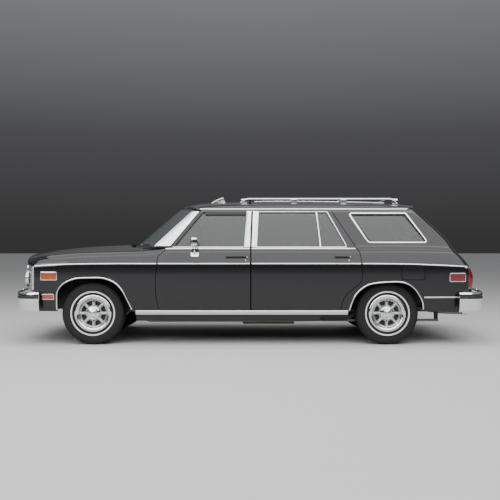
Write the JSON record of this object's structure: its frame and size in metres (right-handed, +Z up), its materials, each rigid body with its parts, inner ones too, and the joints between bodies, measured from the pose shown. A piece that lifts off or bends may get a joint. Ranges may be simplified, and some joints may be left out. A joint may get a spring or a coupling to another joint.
{
  "type": "station wagon",
  "caption": "Long-roof family car with side doors, a glazed load space, a sloping tailgate, bright bumpers and a roof rack.",
  "frame": {"origin": "on the ground, under the middle of the overall length and width", "axes": "+X towards the tailgate, -X towards the nose, +Y towards the passenger's (right) side, +Z up"},
  "size_m": [4.94, 1.975, 1.541],
  "materials": {
    "black_paint": "deep gloss",
    "chrome": "polished",
    "tinted_glass": "clear, lightly tinted",
    "tyre_rubber": "matte",
    "silver_rim": "satin silver",
    "dark_steel": "matte underseal",
    "black_vinyl": "soft satin",
    "black_plastic": "satin",
    "red_lens": "clear red"
  },
  "bodies": {
    "body": {"fender_left": "black_paint", "fender_right": "black_paint", "quarter_left": "black_paint", "quarter_right": "black_paint", "roof": "black_paint", "nose_panel": "black_paint", "windscreen_frame": "black_paint", "bumper_front": "chrome", "bumper_rear": "chrome", "grille": "chrome", "headlamp_left": "chrome", "headlamp_right": "chrome", "roof_rack": "chrome", "roof_deflector": "chrome", "quarter_glass_left": "tinted_glass", "quarter_glass_right": "tinted_glass", "windscreen": "tinted_glass", "underbody": "dark_steel", "front_frame": "dark_steel", "engine": "dark_steel", "rear_axle": "dark_steel", "exhaust": "dark_steel", "dashboard": "black_vinyl", "front_seat": "black_vinyl", "rear_seat": "black_vinyl", "tail_lamp_left": "red_lens", "tail_lamp_right": "red_lens"},
    "front_door_left": {"front_door_left": "black_paint", "front_glass_left": "tinted_glass", "mirror_left": "chrome"},
    "front_door_right": {"front_door_right": "black_paint", "front_glass_right": "tinted_glass", "mirror_right": "chrome"},
    "rear_door_left": {"rear_door_left": "black_paint", "rear_glass_left": "tinted_glass"},
    "rear_door_right": {"rear_door_right": "black_paint", "rear_glass_right": "tinted_glass"},
    "hood": {"hood": "black_paint"},
    "tailgate": {"tailgate": "black_paint", "tailgate_glass": "tinted_glass"},
    "fuel_door": {"fuel_door": "black_paint"},
    "steering_wheel": {"steering_wheel": "black_plastic"},
    "knuckle_left": {"knuckle_left": "dark_steel"},
    "knuckle_right": {"knuckle_right": "dark_steel"},
    "wheel_front_left": {"rim_front_left": "silver_rim", "tyre_front_left": "tyre_rubber"},
    "wheel_front_right": {"rim_front_right": "silver_rim", "tyre_front_right": "tyre_rubber"},
    "wheel_rear_left": {"rim_rear_left": "silver_rim", "tyre_rear_left": "tyre_rubber"},
    "wheel_rear_right": {"rim_rear_right": "silver_rim", "tyre_rear_right": "tyre_rubber"}
  },
  "joints": [
    {"name": "front_door_left_hinge", "type": "hinge", "parent": "body", "child": "front_door_left", "pos_m": [-0.917, -0.938, 0.83], "axis": [0, 0, -1], "range_deg": [0, 62]},
    {"name": "front_door_right_hinge", "type": "hinge", "parent": "body", "child": "front_door_right", "pos_m": [-0.917, 0.938, 0.83], "axis": [0, 0, 1], "range_deg": [0, 62]},
    {"name": "rear_door_left_hinge", "type": "hinge", "parent": "body", "child": "rear_door_left", "pos_m": [0.05, -0.938, 0.83], "axis": [0, 0, -1], "range_deg": [0, 65]},
    {"name": "rear_door_right_hinge", "type": "hinge", "parent": "body", "child": "rear_door_right", "pos_m": [0.05, 0.938, 0.83], "axis": [0, 0, 1], "range_deg": [0, 65]},
    {"name": "hood_hinge", "type": "hinge", "parent": "body", "child": "hood", "pos_m": [-1.154, 0, 0.97315], "axis": [0, 1, 0], "range_deg": [0, 48]},
    {"name": "tailgate_hinge", "type": "hinge", "parent": "body", "child": "tailgate", "pos_m": [1.75979, 0, 1.383], "axis": [0, -1, 0], "range_deg": [0, 75]},
    {"name": "fuel_door_hinge", "type": "hinge", "parent": "body", "child": "fuel_door", "pos_m": [1.551, -0.92676, 0.742], "axis": [0, 0, -1], "range_deg": [0, 95]},
    {"name": "steer_left", "type": "hinge", "parent": "body", "child": "knuckle_left", "pos_m": [-1.606, -0.7, 0.32], "axis": [0, 0, 1], "range_deg": [-30, 30]},
    {"name": "steer_right", "type": "hinge", "parent": "body", "child": "knuckle_right", "pos_m": [-1.606, 0.7, 0.32], "axis": [0, 0, 1], "range_deg": [-30, 30]},
    {"name": "steering_wheel_turn", "type": "hinge", "parent": "body", "child": "steering_wheel", "pos_m": [-0.47, -0.37, 0.86], "axis": [0.8829, 0, 0.4695], "range_deg": [-480, 480]},
    {"name": "wheel_front_left_spin", "type": "hinge", "parent": "knuckle_left", "child": "wheel_front_left", "pos_m": [-1.606, -0.755, 0.32], "axis": [0, 1, 0], "continuous": true},
    {"name": "wheel_front_right_spin", "type": "hinge", "parent": "knuckle_right", "child": "wheel_front_right", "pos_m": [-1.606, 0.755, 0.32], "axis": [0, 1, 0], "continuous": true},
    {"name": "wheel_rear_left_spin", "type": "hinge", "parent": "body", "child": "wheel_rear_left", "pos_m": [1.404, -0.755, 0.32], "axis": [0, 1, 0], "continuous": true},
    {"name": "wheel_rear_right_spin", "type": "hinge", "parent": "body", "child": "wheel_rear_right", "pos_m": [1.404, 0.755, 0.32], "axis": [0, 1, 0], "continuous": true}
  ],
  "couplings": [
    {"joint": "steer_right", "follows": "steer_left", "ratio": 1},
    {"joint": "steering_wheel_turn", "follows": "steer_left", "ratio": 16}
  ]
}
